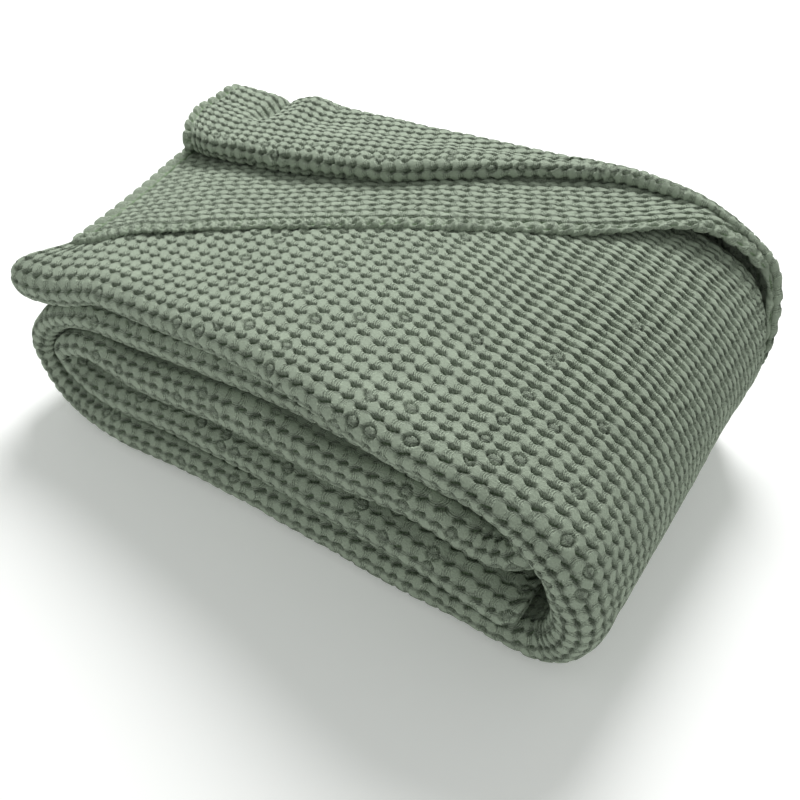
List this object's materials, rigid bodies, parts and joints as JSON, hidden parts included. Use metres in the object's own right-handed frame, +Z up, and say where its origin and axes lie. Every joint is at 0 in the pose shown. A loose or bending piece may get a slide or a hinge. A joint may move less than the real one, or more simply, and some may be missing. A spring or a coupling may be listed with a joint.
{
  "type": "folded waffle weave cotton blanket",
  "caption": "Sage green waffle weave cotton blanket, folded lengthwise and then rolled flat into a low stack, with one hemmed edge turned back across the top.",
  "frame": {"origin": "centre of the footprint, on the surface the folded blanket rests on", "axes": "+X along the long side of the stack, towards its rounded end; +Y from the folded front edges to the back; +Z up"},
  "size_m": [0.4964, 0.3004, 0.1697],
  "materials": {
    "cotton": "matte, soft sage green cotton in a deep waffle weave"
  },
  "bodies": {
    "root": {"blanket": "cotton"}
  },
  "joints": []
}
